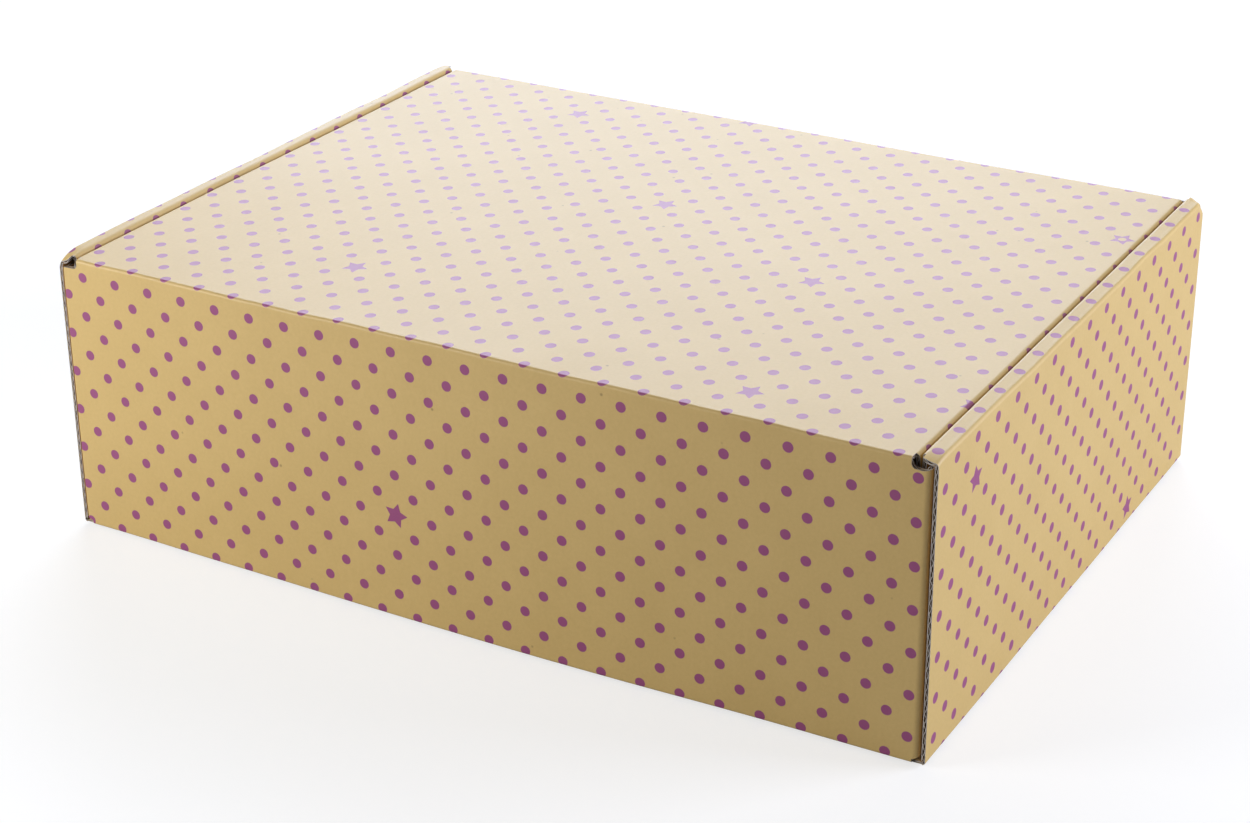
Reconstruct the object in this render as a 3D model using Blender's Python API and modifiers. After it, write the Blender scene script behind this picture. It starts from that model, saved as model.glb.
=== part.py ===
"""Folded mailing box of thin corrugated board, closed, with a printed outside.

The real box is one die-cut sheet. Each panel between two creases is its own
object here, and its origin lies on the crease that it folds about.
The lid hinges on the rear wall at +Y and tucks in behind the front wall at -Y.
The two side walls are rolled over at the top, and their inner halves lock
into the bottom with two tabs each. X runs along the hinge, and Z is up.
"""
import math

import bmesh
import bpy
from mathutils import Matrix, Vector

# Outside of the box, in metres
box_length = 0.300
box_depth = 0.220
box_height = 0.095

# The board and its folds
board = 0.0016
fold_radius = 0.0012
fold_gap = 0.0003
fold_steps = 4
corner_steps = 6

# Rolled side walls: room beside the three boards in a roll, and how far the ends stop short of the walls
roll_slack = 0.0005
roll_end_inset = 0.0006
inner_end_gap = 0.0006

# Lid: how far it lies below the rolls, and its gap to them
lid_drop = 0.0007
lid_side_gap = 0.0008
lid_front_gap = 0.0004
front_wall_drop = 0.0012

# Tuck flap at the lid's front edge
tuck_length = 0.050
tuck_side_inset = 0.0010
tuck_taper = 0.003
tuck_corner_radius = 0.012

# Dust flaps at the lid's two sides
dust_length = 0.042
dust_rear_inset = 0.005
dust_front_gap = 0.004
dust_taper = 0.010
dust_corner_radius = 0.010

# Corner flaps, which turn from the front and rear walls into the rolls
corner_gap = 0.0003
corner_relief = 0.0040
corner_flap_depth_share = 0.38
corner_flap_taper = 0.008
corner_flap_radius = 0.012
notch_radius = 0.0007
ease_radius = 0.0006

# Tabs of the inner side walls, and their slots in the bottom
tab_depth_shares = (-0.24, 0.24)
tab_length = 0.036
tab_root = 0.0035
tab_taper = 0.0004
tab_floor_gap = 0.0002
slot_gap = 0.0005
slot_end_gap = 0.0006
inner_corner_cut = 0.003

# Worked out from the sizes above
half_length = box_length / 2
half_depth = box_depth / 2
roll_width = 3 * board + corner_gap + roll_slack
inner_wall_face = half_length - roll_width
lid_half_length = inner_wall_face - lid_side_gap
lid_top = box_height - lid_drop
lid_underside = lid_top - board
lid_front = half_depth - board - lid_front_gap
corner_fold_x = half_length - board - corner_gap
shoulder_height = box_height - corner_relief
roll_half_depth = half_depth - roll_end_inset
inner_half_depth = half_depth - board - inner_end_gap

# The tuck flap leans in just so far that its lower edge, which swings about
# the lid's hinge, stays behind the front wall all the way up
tuck_reach = half_depth + lid_front
tuck_hinge_depth = board + fold_gap
tuck_lean = math.asin((tuck_length + 2 * tuck_hinge_depth) / (2 * tuck_reach))

KRAFT = (0.62, 0.46, 0.28)
KRAFT_LIGHT = (0.80, 0.68, 0.50)
KRAFT_INSIDE = (0.66, 0.49, 0.31)
ROUGHNESS = 0.85

RIGHT = Vector((1, 0, 0))
REAR = Vector((0, 1, 0))
UP = Vector((0, 0, 1))


def clear_scene():
    for old in list(bpy.data.objects):
        bpy.data.objects.remove(old, do_unlink=True)


def new_collection(name):
    collection = bpy.data.collections.new(name)
    bpy.context.scene.collection.children.link(collection)
    return collection


def board_material(name, colour):
    material = bpy.data.materials.new(name)
    material.use_nodes = True
    shader = material.node_tree.nodes["Principled BSDF"]
    shader.inputs["Base Color"].default_value = (*colour, 1)
    shader.inputs["Roughness"].default_value = ROUGHNESS
    shader.inputs["Metallic"].default_value = 0
    return material


def rounded_outline(corners):
    """Points of a closed outline. Each corner is x, y and the radius of its arc, or 0 for a sharp one."""
    points = []
    count = len(corners)
    for index, (x, y, radius) in enumerate(corners):
        corner = Vector((x, y))
        if radius == 0:
            points.append(corner)
            continue
        before = (Vector(corners[index - 1][:2]) - corner).normalized()
        after = (Vector(corners[(index + 1) % count][:2]) - corner).normalized()
        half_angle = before.angle(after) / 2
        setback = radius / math.tan(half_angle)
        centre = corner + (before + after).normalized() * (radius / math.sin(half_angle))
        start = corner + before * setback - centre
        end = corner + after * setback - centre
        turn = start.angle_signed(end)
        for step in range(corner_steps + 1):
            angle = -turn * step / corner_steps
            spoke = Matrix.Rotation(angle, 2) @ start
            points.append(centre + spoke)
    return points


def add_spline(curve, points):
    spline = curve.splines.new("POLY")
    spline.points.add(len(points) - 1)
    for spline_point, point in zip(spline.points, points):
        spline_point.co = (point.x, point.y, 0, 1)
    spline.use_cyclic_u = True


def flat_board(name, outline, holes=()):
    """A mesh of board thickness, cut to a flat outline, with its middle plane at z = 0."""
    curve = bpy.data.curves.new(name, "CURVE")
    curve.dimensions = "2D"
    curve.fill_mode = "BOTH"
    curve.extrude = board / 2
    add_spline(curve, outline)
    for hole in holes:
        add_spline(curve, hole)
    flat = bpy.data.objects.new(name, curve)
    box_parts.objects.link(flat)
    evaluated = flat.evaluated_get(bpy.context.evaluated_depsgraph_get())
    mesh = bpy.data.meshes.new_from_object(evaluated)
    bpy.data.objects.remove(flat, do_unlink=True)
    bpy.data.curves.remove(curve)
    shell = bmesh.new()
    shell.from_mesh(mesh)
    bmesh.ops.remove_doubles(shell, verts=shell.verts, dist=ease_radius / 100)
    bmesh.ops.dissolve_limit(
        shell, angle_limit=math.radians(1), verts=shell.verts, edges=shell.edges
    )
    bmesh.ops.recalc_face_normals(shell, faces=shell.faces)
    shell.to_mesh(mesh)
    shell.free()
    return mesh


def mark_folds(mesh, outer_z, folds):
    """Gives full bevel weight to the outer edges that lie on a fold. A fold is an axis, 0 or 1, and a place on it."""
    weights = mesh.attributes.new("bevel_weight_edge", "FLOAT", "EDGE")
    for edge in mesh.edges:
        ends = [mesh.vertices[index].co for index in edge.vertices]
        on_outside = all(abs(end.z - outer_z) < fold_gap for end in ends)
        for axis, place in folds:
            on_fold = all(abs(end[axis] - place) < fold_gap / 2 for end in ends)
            if on_outside and on_fold:
                weights.data[edge.index].value = 1


def make_panel(name, outline, origin, along, across, colour, folds=(), holes=(), inner_pivot=False):
    """One panel of the sheet.

    Its outline is drawn with x along the crease and y across the panel, away
    from it. The board lies behind the outer face, and the origin is on the
    outer liner, or on the inner one where the panel folds further in.
    """
    mesh = flat_board(name, outline, holes)
    outer_z = board if inner_pivot else 0
    mesh.transform(Matrix.Translation((0, 0, outer_z - board / 2)))
    mark_folds(mesh, outer_z, folds)
    panel = bpy.data.objects.new(name, mesh)
    box_parts.objects.link(panel)
    outward = along.cross(across)
    turn = Matrix((along, across, outward)).transposed()
    panel.matrix_world = Matrix.Translation(origin) @ turn.to_4x4()
    if folds:
        rounding = panel.modifiers.new("rounded_fold", "BEVEL")
        rounding.limit_method = "WEIGHT"
        rounding.width = fold_radius
        rounding.segments = fold_steps
    mesh.materials.append(board_material(name + "_board", colour))
    return panel


def make_bottom():
    """The bottom lies between the four walls and has a slot for each tab."""
    half_x = half_length - board - fold_gap
    half_y = half_depth - board - fold_gap
    outline = rounded_outline([
        (-half_x, -half_y, 0), (half_x, -half_y, 0), (half_x, half_y, 0), (-half_x, half_y, 0),
    ])
    slot_inside = inner_wall_face - slot_gap
    slot_outside = inner_wall_face + board + slot_gap
    half_slot = tab_length / 2 + slot_end_gap
    holes = []
    for side in (-1, 1):
        for share in tab_depth_shares:
            middle = share * box_depth
            near, far = sorted((side * slot_inside, side * slot_outside))
            holes.append([
                Vector((near, middle - half_slot)), Vector((far, middle - half_slot)),
                Vector((far, middle + half_slot)), Vector((near, middle + half_slot)),
            ])
    make_panel("bottom_panel", outline, Vector((0, 0, 0)), RIGHT, -REAR, KRAFT, holes=holes)


def wall_outline(top, top_half):
    """Front or rear wall: full height between the rolls, stepped down to pass under them."""
    return rounded_outline([
        (-corner_fold_x, 0, 0),
        (corner_fold_x, 0, 0),
        (corner_fold_x, shoulder_height, ease_radius),
        (top_half, shoulder_height, notch_radius),
        (top_half, top, ease_radius),
        (-top_half, top, ease_radius),
        (-top_half, shoulder_height, notch_radius),
        (-corner_fold_x, shoulder_height, ease_radius),
    ])


def make_end_walls():
    """Rear wall, which carries the lid, and front wall, which the tuck flap goes behind."""
    folds = [(1, 0), (0, corner_fold_x), (0, -corner_fold_x)]
    rear_top = lid_underside - fold_gap
    make_panel(
        "rear_wall", wall_outline(rear_top, lid_half_length),
        REAR * half_depth, -RIGHT, UP, KRAFT, folds,
    )
    front_top = lid_top - front_wall_drop
    make_panel(
        "front_wall", wall_outline(front_top, inner_wall_face - ease_radius),
        -REAR * half_depth, RIGHT, UP, KRAFT, folds,
    )


def make_corner_flap(name, side, end):
    """A flap that turns from the front or rear wall into the roll. side and end are 1 or -1 along X and Y."""
    length = corner_flap_depth_share * box_depth
    start = board + fold_gap
    bottom = board + fold_gap
    inner_top = shoulder_height - corner_flap_taper
    flip = side * end
    corners = [
        (bottom, start, 0),
        (shoulder_height, start, 0),
        (inner_top, length, corner_flap_radius),
        (bottom + corner_flap_taper, length, corner_flap_radius),
    ]
    corners = [(x * flip, y, radius) for x, y, radius in corners]
    if flip < 0:
        corners.reverse()
    origin = RIGHT * side * corner_fold_x + REAR * end * half_depth
    make_panel(name, rounded_outline(corners), origin, UP * flip, -REAR * end, KRAFT_INSIDE)


def make_outer_wall(name, side):
    """Outer half of a rolled side wall, from the bottom crease up to the roll."""
    top = box_height - board - fold_gap
    outline = rounded_outline([
        (-roll_half_depth, 0, ease_radius), (roll_half_depth, 0, ease_radius),
        (roll_half_depth, top, 0), (-roll_half_depth, top, 0),
    ])
    make_panel(name, outline, RIGHT * side * half_length, REAR * side, UP, KRAFT, [(1, 0)])


def make_roll_top(name, side):
    """The narrow strip on top of a rolled side wall, which lifts about its outer crease."""
    outline = rounded_outline([
        (-roll_half_depth, 0, 0), (roll_half_depth, 0, 0),
        (roll_half_depth, roll_width, 0), (-roll_half_depth, roll_width, 0),
    ])
    origin = RIGHT * side * half_length + UP * box_height
    folds = [(1, 0), (1, roll_width)]
    make_panel(name, outline, origin, REAR * side, -RIGHT * side, KRAFT_LIGHT, folds)


def inner_crease_height():
    """Height of the crease that the inner half of a roll hangs from."""
    return box_height - board - fold_gap / 2


def make_inner_wall(name, side):
    """Inner half of a rolled side wall, notched at its lower edge for two tabs."""
    reach = inner_crease_height() - board - fold_gap
    start = fold_gap / 2
    half_root = tab_length / 2 + fold_gap
    corners = [
        (-inner_half_depth, start, 0),
        (inner_half_depth, start, 0),
        (inner_half_depth, reach, inner_corner_cut),
    ]
    for share in sorted(tab_depth_shares, reverse=True):
        middle = share * box_depth
        corners += [
            (middle + half_root, reach, 0), (middle + half_root, reach - tab_root, 0),
            (middle - half_root, reach - tab_root, 0), (middle - half_root, reach, 0),
        ]
    corners.append((-inner_half_depth, reach, inner_corner_cut))
    origin = RIGHT * side * (inner_wall_face + board) + UP * inner_crease_height()
    make_panel(
        name, rounded_outline(corners), origin, REAR * side, -UP, KRAFT_INSIDE, inner_pivot=True
    )


def make_tab(name, side, share):
    """A locking tab, creased to the inner wall and standing in its slot."""
    half = tab_length / 2
    start = inner_crease_height() - board - fold_gap - tab_root + fold_gap
    tip = inner_crease_height() - tab_floor_gap
    outline = rounded_outline([
        (-half, start, 0), (half, start, 0),
        (half - tab_taper, tip, ease_radius), (-half + tab_taper, tip, ease_radius),
    ])
    origin = RIGHT * side * (inner_wall_face + board) + UP * inner_crease_height()
    origin += REAR * share * box_depth
    make_panel(name, outline, origin, REAR * side, -UP, KRAFT_INSIDE, inner_pivot=True)


def make_lid():
    """The lid lies between the two rolls, a little below their tops."""
    length = half_depth + lid_front
    outline = rounded_outline([
        (-lid_half_length, 0, 0), (lid_half_length, 0, 0),
        (lid_half_length, length, 0), (-lid_half_length, length, 0),
    ])
    folds = [(1, 0), (1, length), (0, lid_half_length), (0, -lid_half_length)]
    origin = REAR * half_depth + UP * lid_top
    make_panel("lid_panel", outline, origin, -RIGHT, -REAR, KRAFT_LIGHT, folds)


def make_tuck_flap():
    """The flap at the lid's front edge, which leans in from its crease."""
    half = lid_half_length - tuck_side_inset
    start = fold_gap / 2
    outline = rounded_outline([
        (-half, start, 0), (half, start, 0),
        (half - tuck_taper, tuck_length, tuck_corner_radius),
        (-half + tuck_taper, tuck_length, tuck_corner_radius),
    ])
    origin = -REAR * (lid_front - board) + UP * (lid_underside - fold_gap / 2)
    down = Vector((0, math.sin(tuck_lean), -math.cos(tuck_lean)))
    make_panel("tuck_flap", outline, origin, -RIGHT, down, KRAFT_INSIDE, inner_pivot=True)


def make_dust_flap(name, side):
    """A flap at the lid's side, which hangs down inside the inner wall, clear of the tuck flap's swing."""
    rear_y = half_depth - board - dust_rear_inset
    front_y = -lid_front + tuck_length + dust_front_gap
    start = fold_gap / 2
    flip = -side
    corners = [
        (flip * rear_y, start, 0),
        (flip * front_y, start, 0),
        (flip * (front_y + dust_taper), dust_length, dust_corner_radius),
        (flip * (rear_y - dust_taper / 2), dust_length, dust_corner_radius),
    ]
    if flip > 0:
        corners.reverse()
    origin = RIGHT * side * (lid_half_length - board) + UP * (lid_underside - fold_gap / 2)
    make_panel(
        name, rounded_outline(corners), origin, REAR * flip, -UP, KRAFT_INSIDE, inner_pivot=True
    )


clear_scene()
box_parts = new_collection("corrugated_mailing_box")

make_bottom()
make_end_walls()
make_lid()
make_tuck_flap()
for side_name, side_sign in (("left", -1), ("right", 1)):
    make_corner_flap("rear_" + side_name + "_corner_flap", side_sign, 1)
    make_corner_flap("front_" + side_name + "_corner_flap", side_sign, -1)
    make_outer_wall(side_name + "_outer_wall", side_sign)
    make_roll_top(side_name + "_roll_top", side_sign)
    make_inner_wall(side_name + "_inner_wall", side_sign)
    make_dust_flap(side_name + "_dust_flap", side_sign)
    for tab_name, tab_share in zip(("front", "rear"), tab_depth_shares):
        make_tab(side_name + "_" + tab_name + "_tab", side_sign, tab_share)
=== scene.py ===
# %% [markdown]
# # A folded mailing box of printed corrugated board
#
# The real box is one die-cut sheet: two paper liners with a fluted paper
# between them, printed with dots on its outer side, creased, and folded by
# hand. This lesson makes it the same way. Each panel starts as a flat piece of
# corrugated board, is punched to its outline, is bent over at its creases, and
# only then goes to its place. Every flute in the board is really there, so the
# cut edges look right from all sides and when the box is opened.

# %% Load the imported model
import math

import bpy
import numpy as np
from mathutils import Matrix, Vector, noise


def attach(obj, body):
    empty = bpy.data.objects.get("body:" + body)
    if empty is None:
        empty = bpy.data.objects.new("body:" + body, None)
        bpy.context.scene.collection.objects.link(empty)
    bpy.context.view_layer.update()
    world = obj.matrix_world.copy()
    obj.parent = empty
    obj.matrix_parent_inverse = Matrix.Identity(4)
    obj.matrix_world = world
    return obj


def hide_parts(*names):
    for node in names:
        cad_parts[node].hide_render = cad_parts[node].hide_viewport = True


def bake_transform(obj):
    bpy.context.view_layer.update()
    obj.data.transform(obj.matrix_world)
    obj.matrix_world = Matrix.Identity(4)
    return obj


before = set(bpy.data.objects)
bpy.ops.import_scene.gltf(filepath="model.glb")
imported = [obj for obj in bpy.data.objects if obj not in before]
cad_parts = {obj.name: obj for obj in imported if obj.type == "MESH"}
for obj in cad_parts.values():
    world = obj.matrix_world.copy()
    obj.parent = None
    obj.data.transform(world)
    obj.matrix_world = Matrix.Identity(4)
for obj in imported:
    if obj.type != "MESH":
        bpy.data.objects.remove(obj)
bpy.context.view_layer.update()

# %% [markdown]
# ## Camera, light and stage
#
# The photograph looks at the corner between the rear wall and one side wall,
# from a little above. Its upright edges were straightened afterwards, which a
# plain camera does not do, so the camera here keeps the photograph's angle and
# uses only a small shift.

# %% Camera
camera_target = Vector((-0.0063, 0, 0.0483))
camera_turn = math.radians(28.94)
camera_rise = math.radians(24.47)
camera_distance = 0.8509
photo_width = 1250
focal_pixels = 2593
sensor_width = 36

camera_data = bpy.data.cameras.new("camera")
camera_data.sensor_width = sensor_width
camera_data.lens = focal_pixels * sensor_width / photo_width
camera_data.shift_x = -0.03
camera_data.shift_y = -0.04
camera_data.clip_start = 0.01
camera = bpy.data.objects.new("camera", camera_data)
bpy.context.scene.collection.objects.link(camera)
camera_direction = Vector((
    -math.cos(camera_rise) * math.sin(camera_turn),
    math.cos(camera_rise) * math.cos(camera_turn),
    math.sin(camera_rise),
))
camera.location = camera_target + camera_distance * camera_direction
camera.rotation_mode = "QUATERNION"
camera.rotation_quaternion = (-camera_direction).to_track_quat("-Z", "Y")
bpy.context.scene.camera = camera
print("lens in millimetres:", round(camera_data.lens, 1))

# %% [markdown]
# Soft light in a studio comes from large boxes of cloth, so each lamp is a
# large area lamp. The strongest one stands behind, so that its reflection lies
# on the lid like a pale veil. One at the left lights the rear wall, which grows
# darker towards its right end, and two at the right light the side wall. A
# faint one above softens the shadows.

# %% Lamps
bpy.context.scene.view_settings.view_transform = "Standard"
lamps_aim = Vector((0, 0, 0.05))


def add_softbox(name, place, size, watts, colour=(1, 1, 1)):
    """A square area lamp that points at the middle of the box."""
    lamp = bpy.data.lights.new(name, "AREA")
    lamp.energy = watts
    lamp.size = size
    lamp.color = colour
    softbox = bpy.data.objects.new(name, lamp)
    bpy.context.scene.collection.objects.link(softbox)
    softbox.location = place
    aim = lamps_aim - Vector(place)
    softbox.rotation_euler = aim.to_track_quat("-Z", "Y").to_euler()


add_softbox("softbox_above", (0.1, -0.1, 1.3), 1.2, 0.5)
add_softbox("softbox_left", (0.50, 0.56, 0.26), 0.35, 4.1, (0.98, 0.98, 0.98))
add_softbox("softbox_right", (-1.1, -0.55, 0.5), 0.7, 17.2, (0.79, 0.84, 1))
add_softbox("softbox_side", (-1.2, 0.11, 0.30), 0.25, 1.5, (1, 0.98, 0.94))
add_softbox("softbox_behind", (0.70, -1.28, 0.72), 1.2, 27.3, (0.74, 0.83, 1))

# %% [markdown]
# ## A helper for materials
#
# Colours are written as the hex values that one reads off a paint chart, and
# one function turns them to the linear values that Blender wants. One more
# function adds a node with its settings and its links, and hands back one of
# its outputs for the next node.

# %% Material helpers


def linear(hex_colour):
    """Linear red, green, blue and alpha of a colour such as "#C8AA78", by the sRGB curve."""
    parts = [int(hex_colour[start:start + 2], 16) / 255 for start in (1, 3, 5)]
    curve = [part / 12.92 if part <= 0.04045 else ((part + 0.055) / 1.055) ** 2.4 for part in parts]
    return (*curve, 1)


def add_node(tree, kind, inputs=None, output=0, **settings):
    """Adds a node and returns one of its outputs. inputs holds a value or a link for each input."""
    node = tree.nodes.new("ShaderNode" + kind)
    for name, value in settings.items():
        setattr(node, name, value)
    for name, value in (inputs or {}).items():
        socket = node.inputs[name]
        if isinstance(value, bpy.types.NodeSocket):
            tree.links.new(value, socket)
        else:
            socket.default_value = value
    return node.outputs[output]


def new_material(name):
    """An empty node material, with its tree and the input that its shader goes to."""
    material = bpy.data.materials.new(name)
    material.use_nodes = True
    tree = material.node_tree
    tree.nodes.clear()
    output = tree.nodes.new("ShaderNodeOutputMaterial")
    return material, tree, output.inputs["Surface"]


# %% [markdown]
# The floor is white paper. What the camera sees of it gets a little light of
# its own, so that it is white, but it keeps the shadow of the box. It lies just
# below the box, whose bottom is not quite flat.

# %% Floor and world
floor_size = 12
floor_height = -0.0008
floor_own_light = 0.66
room_brightness = 0.125
white = (1, 1, 1, 1)

floor_white, tree, surface = new_material("white_paper_floor")
floor_ray = add_node(tree, "LightPath", output="Is Camera Ray")
floor_paper = add_node(tree, "BsdfDiffuse", {"Color": linear("#A8A8A8")})
floor_lift = add_node(tree, "Math", {0: floor_ray, 1: floor_own_light}, operation="MULTIPLY")
floor_glow = add_node(tree, "Emission", {"Strength": floor_lift})
floor_sum = add_node(tree, "AddShader", {0: floor_paper, 1: floor_glow})
tree.links.new(floor_sum, surface)

bpy.ops.object.select_all(action="DESELECT")
bpy.ops.mesh.primitive_plane_add(size=floor_size, location=(0, 0, floor_height))
floor = bpy.context.object
floor.name = "floor"
floor.data.materials.append(floor_white)

world = bpy.data.worlds.new("studio")
bpy.context.scene.world = world
world.use_nodes = True
tree = world.node_tree
tree.nodes.clear()
world_output = tree.nodes.new("ShaderNodeOutputWorld")
world_ray = add_node(tree, "LightPath", output="Is Camera Ray")
room_light = add_node(tree, "Background", {"Color": white, "Strength": room_brightness})
seen_white = add_node(tree, "Background", {"Color": white, "Strength": 1.0})
world_mix = add_node(tree, "MixShader", {0: world_ray, 1: room_light, 2: seen_white})
tree.links.new(world_mix, world_output.inputs["Surface"])

# %% [markdown]
# ## The print
#
# The outer liner is brown kraft paper, printed by flexography in one purple
# ink: dots on a square lattice that stands on its corner, and here and there a
# five-pointed star in the place of a dot. The print was made on the flat
# sheet, so it runs on over the creases. Each piece therefore gets a UV map
# that holds its place on the flat sheet, counted in steps of the lattice, and
# the material draws the pattern from that.

# %% Print sizes
lattice_step = 0.01294
lattice_step_up = 0.0134
lattice_step_deep = 0.0144
dot_radius = 0.128
dot_edge = 0.006
dot_roundness = 1.04
ragged_edge = 0.016
star_radius = 0.325
star_notch = 0.170
star_turn = math.radians(77)
star_reach = 0.355
star_sites = [
    (6, 1), (10.5, 2.5), (-6.5, 13.5), (-1, 9), (-5.5, 2.5), (4.5, 6.5), (-2, 15),
    (-2.5, -4.5), (17, -9), (11.5, -18.5),
    (4, -25), (-7.5, -26.5), (-15, -11), (-17.5, -18.5), (-5, -12), (6.5, -17.5),
]
hollow_star_site = (10, 12)
hollow_radius = 0.10
ink_cover = 0.94

# %% [markdown]
# The lattice has points at whole and at half steps. The nodes find the nearest
# one, and a dot is what lies within its radius. A star's edge runs straight
# from a tip to the next notch, so the law of sines says how far out it is.

# %% Print as a mask


def draw_print(tree):
    """The nodes that draw the dots and stars. Returns the mask, which is 1 where there is ink."""
    sheet = add_node(tree, "UVMap", uv_map="sheet")
    half = (0.5, 0.5, 0)
    squeeze = (1, dot_roundness, 0)
    from_points = []
    distances = []
    for shift in (half, (0, 0, 0)):
        place = add_node(tree, "VectorMath", {0: sheet, 1: shift}, operation="ADD")
        place = add_node(tree, "VectorMath", {0: place}, operation="FRACTION")
        place = add_node(tree, "VectorMath", {0: place, 1: half}, operation="SUBTRACT")
        place = add_node(tree, "VectorMath", {0: place, 1: squeeze}, operation="MULTIPLY")
        from_points.append(place)
        distances.append(add_node(tree, "VectorMath", {0: place}, "Value", operation="LENGTH"))
    from_whole, from_half = from_points
    whole_far, half_far = distances
    whole_nearer = add_node(tree, "Math", {0: whole_far, 1: half_far}, operation="LESS_THAN")
    nearest = add_node(
        tree, "Mix", {0: whole_nearer, 4: from_half, 5: from_whole}, 1, data_type="VECTOR"
    )
    distance = add_node(tree, "Math", {0: whole_far, 1: half_far}, operation="MINIMUM")
    ragged = add_node(tree, "TexNoise", {"Vector": sheet, "Scale": 55.0, "Detail": 3.0})
    ragged = add_node(tree, "Math", {0: ragged, 1: 0.5}, operation="SUBTRACT")
    ragged = add_node(tree, "Math", {0: ragged, 1: ragged_edge}, operation="MULTIPLY")
    distance = add_node(tree, "Math", {0: distance, 1: ragged}, operation="ADD")
    dots = add_node(tree, "MapRange", {
        "Value": distance, "From Min": dot_radius + dot_edge, "From Max": dot_radius - dot_edge,
    })

    parts = add_node(tree, "SeparateXYZ", {0: nearest}).node.outputs
    from_tip = add_node(tree, "Math", {0: parts[1], 1: parts[0]}, operation="ARCTAN2")
    sector = math.radians(72)
    # Ten sectors more keep the angle above 0, and so its remainder too
    for operation, number in (
        ("ADD", sector / 2 - star_turn + 10 * sector), ("MODULO", sector),
        ("SUBTRACT", sector / 2), ("ABSOLUTE", 0),
    ):
        from_tip = add_node(tree, "Math", {0: from_tip, 1: number}, operation=operation)
    to_notch = add_node(tree, "Math", {0: sector / 2, 1: from_tip}, operation="SUBTRACT")
    shares = []
    for angle, length in ((to_notch, star_notch), (from_tip, star_radius)):
        sine = add_node(tree, "Math", {0: angle}, operation="SINE")
        shares.append(add_node(tree, "Math", {0: sine, 1: length}, operation="MULTIPLY"))
    both = add_node(tree, "Math", {0: shares[0], 1: shares[1]}, operation="ADD")
    reach = star_radius * star_notch * math.sin(sector / 2)
    edge_far = add_node(tree, "Math", {0: reach, 1: both}, operation="DIVIDE")
    past_edge = add_node(tree, "Math", {0: distance, 1: edge_far}, operation="SUBTRACT")
    stars = add_node(tree, "MapRange", {
        "Value": past_edge, "From Min": dot_edge, "From Max": -dot_edge,
    })

    star_here = 0.0
    for site in (*star_sites, hollow_star_site):
        far = add_node(tree, "VectorMath", {0: sheet, 1: (*site, 0)}, "Value", operation="DISTANCE")
        here = add_node(tree, "Math", {0: far, 1: star_reach}, operation="LESS_THAN")
        star_here = add_node(tree, "Math", {0: star_here, 1: here}, operation="ADD", use_clamp=True)
    hollow_here = here
    hole = add_node(tree, "Math", {0: distance, 1: hollow_radius}, operation="LESS_THAN")
    hole = add_node(tree, "Math", {0: hole, 1: hollow_here}, operation="MULTIPLY")
    stars = add_node(tree, "Math", {0: stars, 1: hole}, operation="SUBTRACT", use_clamp=True)
    return add_node(tree, "Mix", {0: star_here, 2: dots, 3: stars})


# %% [markdown]
# ## The papers
#
# Kraft paper is matt and warm, with faint clouds and fibres in it and a few
# dark specks of bark. The flutes below show as a faint washboard. The flexo ink
# is thin, so the paper's mottle shows through it. All four papers of the board
# are made by one function, because they differ only in colour and print.

# %% Papers
flute_pitch = 0.0035
ink_roughness = 0.45
fibre_share = 0.55
fibre_relief = 0.00002
rare_speck = 0.955
speck_cover = 0.5
speck_hex = "#7A5A34"
bump_strength = 0.6


def make_paper(name, paper_hex, shade_hex, roughness, ink_hex=None, washboard=0.0):
    """A paper with clouds, fibres and specks. It has the print where an ink colour is given."""
    material, tree, surface = new_material(name)
    place = add_node(tree, "TexCoord", output="Object")
    clouds = add_node(
        tree, "TexNoise", {"Vector": place, "Scale": 38.0, "Detail": 5.0, "Roughness": 0.6}
    )
    fibres = add_node(
        tree, "TexNoise", {"Vector": place, "Scale": 900.0, "Detail": 4.0, "Roughness": 0.7}
    )
    both = add_node(tree, "Mix", {0: fibre_share, 2: clouds, 3: fibres})
    mottle = add_node(tree, "MapRange", {"Value": both, "From Min": 0.3, "From Max": 0.7})
    colour = add_node(
        tree, "Mix", {0: mottle, 6: linear(shade_hex), 7: linear(paper_hex)}, 2, data_type="RGBA"
    )
    dullness = roughness
    if ink_hex:
        mask = draw_print(tree)
        mask = add_node(tree, "Math", {0: mask, 1: ink_cover}, operation="MULTIPLY")
        colour = add_node(
            tree, "Mix", {0: mask, 6: colour, 7: linear(ink_hex)}, 2, data_type="RGBA"
        )
        dullness = add_node(tree, "Mix", {0: mask, 2: roughness, 3: ink_roughness})
    cells = add_node(tree, "TexVoronoi", {"Vector": place, "Scale": 210.0}, feature="F1")
    grain = add_node(tree, "MapRange", {"Value": cells, "From Min": 0.13, "From Max": 0.06})
    rare = add_node(tree, "SeparateXYZ", {0: cells.node.outputs["Color"]})
    rare = add_node(tree, "Math", {0: rare, 1: rare_speck}, operation="GREATER_THAN")
    speck = add_node(tree, "Math", {0: grain, 1: rare}, operation="MULTIPLY")
    speck = add_node(tree, "Math", {0: speck, 1: speck_cover}, operation="MULTIPLY")
    colour = add_node(
        tree, "Mix", {0: speck, 6: colour, 7: linear(speck_hex)}, 2, data_type="RGBA"
    )
    height = add_node(tree, "Math", {0: fibres, 1: fibre_relief}, operation="MULTIPLY")
    if washboard:
        flutes = add_node(tree, "UVMap", uv_map="flutes")
        wave = add_node(tree, "SeparateXYZ", {0: flutes})
        for operation, number in (
            ("MULTIPLY", 2 * math.pi / flute_pitch), ("SINE", 0), ("MULTIPLY", washboard),
        ):
            wave = add_node(tree, "Math", {0: wave, 1: number}, operation=operation)
        height = add_node(tree, "Math", {0: height, 1: wave}, operation="ADD")
    bump = add_node(tree, "Bump", {"Height": height, "Strength": bump_strength, "Distance": 1.0})
    shader = add_node(tree, "BsdfPrincipled", {
        "Base Color": colour, "Normal": bump, "Roughness": dullness,
    })
    tree.links.new(shader, surface)
    return material


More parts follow.
